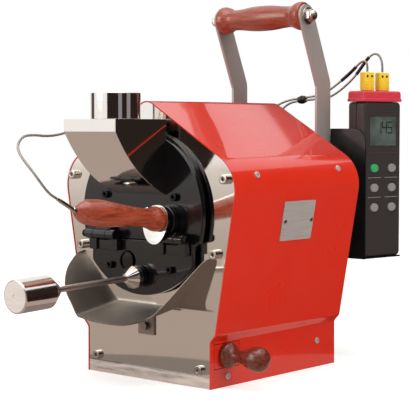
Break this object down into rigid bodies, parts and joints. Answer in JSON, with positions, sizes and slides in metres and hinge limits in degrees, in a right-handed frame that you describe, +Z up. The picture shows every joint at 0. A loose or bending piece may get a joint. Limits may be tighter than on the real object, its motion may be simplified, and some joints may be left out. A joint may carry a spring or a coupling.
{
  "type": "coffee bean roaster",
  "caption": "Countertop drum coffee roaster: painted sheet housing, hopper, bean sampler, weighted discharge door, tray, chaff drawer, carry handle and thermometer.",
  "frame": {"origin": "on the standing surface, under the middle of the front base rail", "axes": "+X to the right of the front, +Y from the front to the motor, +Z up"},
  "size_m": [0.2562, 0.4823, 0.3965],
  "materials": {
    "red_paint": "gloss",
    "mirror_steel": "mirror polished",
    "brushed_steel": "brushed",
    "raw_steel": "satin",
    "black_paint": "gloss",
    "black_plastic": "matte",
    "grey_plastic": "matte",
    "red_plastic": "satin",
    "yellow_plastic": "satin",
    "red_wood": "varnished",
    "screen_glass": "gloss",
    "sight_glass": "gloss",
    "green_rubber": "matte",
    "grey_rubber": "matte",
    "braid": "braided"
  },
  "bodies": {
    "chassis": {"housing_shell": "red_paint", "front_plate": "mirror_steel", "rear_plate": "brushed_steel", "base_rail_front": "mirror_steel", "base_rail_rear": "mirror_steel", "mouth_ring": "black_paint", "upper_front_disc": "black_paint", "sampler_guide": "black_paint", "port_plug": "mirror_steel", "hopper_chute": "mirror_steel", "hopper_collar": "mirror_steel", "hinge_knuckle_left": "black_paint", "hinge_knuckle_right": "black_paint", "bean_tray": "brushed_steel", "tray_bracket": "brushed_steel", "rear_bearing": "raw_steel", "gearmotor": "raw_steel", "motor_cover": "black_paint", "handle_bar_left": "brushed_steel", "handle_bar_right": "brushed_steel", "handle_grip": "red_wood", "handle_tie_rod": "mirror_steel", "thermometer_case": "grey_plastic", "thermometer_cap": "red_plastic", "thermometer_screen": "screen_glass", "thermometer_cradle": "black_paint", "probe_plug_1": "yellow_plastic", "probe_plug_2": "yellow_plastic", "drawer_shelf": "raw_steel", "name_plate": "brushed_steel", "lead_gland": "black_plastic", "lead_bead": "black_plastic", "lead_front_run": "braid", "lead_rear": "braid"},
    "drum": {"drum_shell": "raw_steel", "drum_shaft": "raw_steel", "shaft_coupling": "brushed_steel"},
    "discharge_door": {"door_plate": "black_paint", "sight_glass": "sight_glass", "door_leaf_left": "black_paint", "door_leaf_right": "black_paint", "hinge_pin_left": "black_paint", "hinge_pin_right": "black_paint", "lever_hub": "black_paint", "lever_rod": "brushed_steel", "counterweight": "brushed_steel"},
    "sampler": {"sampler_tube": "brushed_steel", "sampler_shield": "mirror_steel", "sampler_handle": "red_wood", "probe_sleeve": "brushed_steel", "lead_front_loop": "braid"},
    "chaff_drawer": {"drawer_front": "red_paint", "drawer_tray": "raw_steel", "drawer_knob": "red_wood"},
    "button_power": {"button_power": "green_rubber"},
    "button_record": {"button_record": "grey_rubber"},
    "button_mode": {"button_mode": "grey_rubber"},
    "button_hold": {"button_hold": "grey_rubber"},
    "button_alarm": {"button_alarm": "grey_rubber"},
    "button_light": {"button_light": "grey_rubber"}
  },
  "joints": [
    {"name": "drum_spin", "type": "hinge", "parent": "chassis", "child": "drum", "pos_m": [0, 0, 0.18], "axis": [0, 1, 0], "continuous": true},
    {"name": "door_hinge", "type": "hinge", "parent": "chassis", "child": "discharge_door", "pos_m": [0, -0.03, 0.149], "axis": [-1, 0, 0], "range_deg": [0, 42]},
    {"name": "sampler_slide", "type": "slide", "parent": "chassis", "child": "sampler", "axis": [0, -0.993, 0.1184], "range_m": [0, 0.105]},
    {"name": "drawer_slide", "type": "slide", "parent": "chassis", "child": "chaff_drawer", "axis": [1, 0, 0], "range_m": [0, 0.095]},
    {"name": "button_power_press", "type": "slide", "parent": "chassis", "child": "button_power", "axis": [-0.9859, 0.1676, 0], "range_m": [0, 0.0012], "stiffness_N_per_m": 400},
    {"name": "button_record_press", "type": "slide", "parent": "chassis", "child": "button_record", "axis": [-0.9859, 0.1676, 0], "range_m": [0, 0.0012], "stiffness_N_per_m": 400},
    {"name": "button_mode_press", "type": "slide", "parent": "chassis", "child": "button_mode", "axis": [-0.9859, 0.1676, 0], "range_m": [0, 0.0012], "stiffness_N_per_m": 400},
    {"name": "button_hold_press", "type": "slide", "parent": "chassis", "child": "button_hold", "axis": [-0.9859, 0.1676, 0], "range_m": [0, 0.0012], "stiffness_N_per_m": 400},
    {"name": "button_alarm_press", "type": "slide", "parent": "chassis", "child": "button_alarm", "axis": [-0.9859, 0.1676, 0], "range_m": [0, 0.0012], "stiffness_N_per_m": 400},
    {"name": "button_light_press", "type": "slide", "parent": "chassis", "child": "button_light", "axis": [-0.9859, 0.1676, 0], "range_m": [0, 0.0012], "stiffness_N_per_m": 400}
  ]
}
